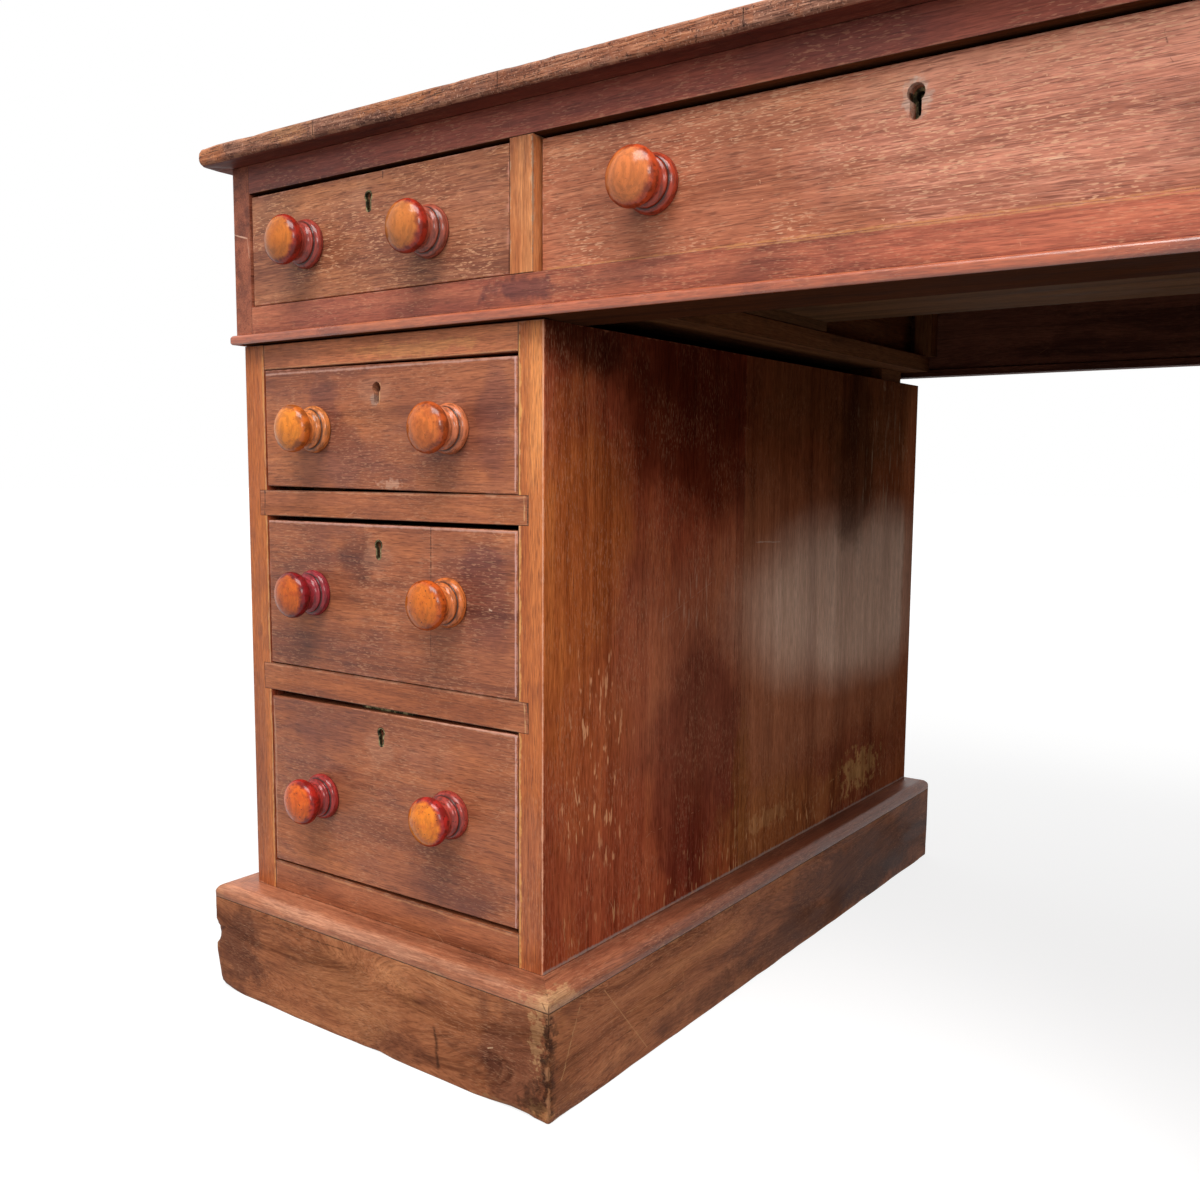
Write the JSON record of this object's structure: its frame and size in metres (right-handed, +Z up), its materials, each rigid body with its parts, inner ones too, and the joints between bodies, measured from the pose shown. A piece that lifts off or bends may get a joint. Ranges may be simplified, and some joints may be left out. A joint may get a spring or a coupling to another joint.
{
  "type": "pedestal desk",
  "caption": "Twin-pedestal writing desk in old mahogany: locking drawers with turned wooden knobs, a leather top in a cross-grained border, and a kneehole between plinths.",
  "frame": {"origin": "on the floor, under the middle of the box round the whole desk", "axes": "+X to the right as seen from the front, +Y from the front to the back, +Z up"},
  "size_m": [1.304, 0.7992, 0.7695],
  "materials": {
    "drawer_front": "worn satin polish",
    "case_wood": "worn satin polish",
    "plinth_wood": "worn satin polish",
    "top_border": "worn, dull",
    "plain_wood": "bare, unpolished",
    "drawer_box": "bare, unpolished",
    "turned_knob": "glossy polish",
    "writing_leather": "worn satin",
    "brass": "aged",
    "steel_screw": "dull"
  },
  "bodies": {
    "desk": {"top_core": "plain_wood", "top_border": "top_border", "writing_leather": "writing_leather", "top_screws": "steel_screw", "frieze_case": "case_wood", "frieze_rails": "case_wood", "frieze_runners": "plain_wood", "bead_moulding": "case_wood", "pedestal_sides": "case_wood", "pedestal_backs": "plain_wood", "pedestal_rails": "case_wood", "pedestal_boards": "plain_wood", "pedestal_runners": "plain_wood", "plinths": "plinth_wood", "wooden_blocks": "plain_wood"},
    "left_upper_drawer": {"left_upper_front": "drawer_front", "left_upper_box": "drawer_box", "left_upper_knobs": "turned_knob", "left_upper_lock": "brass"},
    "left_upper_bolt": {"left_upper_bolt": "brass"},
    "right_upper_drawer": {"right_upper_front": "drawer_front", "right_upper_box": "drawer_box", "right_upper_knobs": "turned_knob", "right_upper_lock": "brass"},
    "right_upper_bolt": {"right_upper_bolt": "brass"},
    "left_middle_drawer": {"left_middle_front": "drawer_front", "left_middle_box": "drawer_box", "left_middle_knobs": "turned_knob", "left_middle_lock": "brass"},
    "left_middle_bolt": {"left_middle_bolt": "brass"},
    "right_middle_drawer": {"right_middle_front": "drawer_front", "right_middle_box": "drawer_box", "right_middle_knobs": "turned_knob", "right_middle_lock": "brass"},
    "right_middle_bolt": {"right_middle_bolt": "brass"},
    "left_lower_drawer": {"left_lower_front": "drawer_front", "left_lower_box": "drawer_box", "left_lower_knobs": "turned_knob", "left_lower_lock": "brass"},
    "left_lower_bolt": {"left_lower_bolt": "brass"},
    "right_lower_drawer": {"right_lower_front": "drawer_front", "right_lower_box": "drawer_box", "right_lower_knobs": "turned_knob", "right_lower_lock": "brass"},
    "right_lower_bolt": {"right_lower_bolt": "brass"},
    "frieze_left_drawer": {"frieze_left_front": "drawer_front", "frieze_left_box": "drawer_box", "frieze_left_knobs": "turned_knob", "frieze_left_lock": "brass"},
    "frieze_left_bolt": {"frieze_left_bolt": "brass"},
    "frieze_right_drawer": {"frieze_right_front": "drawer_front", "frieze_right_box": "drawer_box", "frieze_right_knobs": "turned_knob", "frieze_right_lock": "brass"},
    "frieze_right_bolt": {"frieze_right_bolt": "brass"},
    "frieze_centre_drawer": {"frieze_centre_front": "drawer_front", "frieze_centre_box": "drawer_box", "frieze_centre_knobs": "turned_knob", "frieze_centre_lock": "brass"},
    "frieze_centre_bolt": {"frieze_centre_bolt": "brass"}
  },
  "joints": [
    {"name": "left_upper_slide", "type": "slide", "parent": "desk", "child": "left_upper_drawer", "axis": [0, -1, 0], "range_m": [0, 0.45]},
    {"name": "left_upper_throw", "type": "slide", "parent": "left_upper_drawer", "child": "left_upper_bolt", "axis": [0, 0, 1], "range_m": [0, 0.007]},
    {"name": "right_upper_slide", "type": "slide", "parent": "desk", "child": "right_upper_drawer", "axis": [0, -1, 0], "range_m": [0, 0.45]},
    {"name": "right_upper_throw", "type": "slide", "parent": "right_upper_drawer", "child": "right_upper_bolt", "axis": [0, 0, 1], "range_m": [0, 0.007]},
    {"name": "left_middle_slide", "type": "slide", "parent": "desk", "child": "left_middle_drawer", "axis": [0, -1, 0], "range_m": [0, 0.45]},
    {"name": "left_middle_throw", "type": "slide", "parent": "left_middle_drawer", "child": "left_middle_bolt", "axis": [0, 0, 1], "range_m": [0, 0.007]},
    {"name": "right_middle_slide", "type": "slide", "parent": "desk", "child": "right_middle_drawer", "axis": [0, -1, 0], "range_m": [0, 0.45]},
    {"name": "right_middle_throw", "type": "slide", "parent": "right_middle_drawer", "child": "right_middle_bolt", "axis": [0, 0, 1], "range_m": [0, 0.007]},
    {"name": "left_lower_slide", "type": "slide", "parent": "desk", "child": "left_lower_drawer", "axis": [0, -1, 0], "range_m": [0, 0.45]},
    {"name": "left_lower_throw", "type": "slide", "parent": "left_lower_drawer", "child": "left_lower_bolt", "axis": [0, 0, 1], "range_m": [0, 0.007]},
    {"name": "right_lower_slide", "type": "slide", "parent": "desk", "child": "right_lower_drawer", "axis": [0, -1, 0], "range_m": [0, 0.45]},
    {"name": "right_lower_throw", "type": "slide", "parent": "right_lower_drawer", "child": "right_lower_bolt", "axis": [0, 0, 1], "range_m": [0, 0.007]},
    {"name": "frieze_left_slide", "type": "slide", "parent": "desk", "child": "frieze_left_drawer", "axis": [0, -1, 0], "range_m": [0, 0.27]},
    {"name": "frieze_left_throw", "type": "slide", "parent": "frieze_left_drawer", "child": "frieze_left_bolt", "axis": [0, 0, 1], "range_m": [0, 0.007]},
    {"name": "frieze_right_slide", "type": "slide", "parent": "desk", "child": "frieze_right_drawer", "axis": [0, -1, 0], "range_m": [0, 0.27]},
    {"name": "frieze_right_throw", "type": "slide", "parent": "frieze_right_drawer", "child": "frieze_right_bolt", "axis": [0, 0, 1], "range_m": [0, 0.007]},
    {"name": "frieze_centre_slide", "type": "slide", "parent": "desk", "child": "frieze_centre_drawer", "axis": [0, -1, 0], "range_m": [0, 0.27]},
    {"name": "frieze_centre_throw", "type": "slide", "parent": "frieze_centre_drawer", "child": "frieze_centre_bolt", "axis": [0, 0, 1], "range_m": [0, 0.007]}
  ]
}
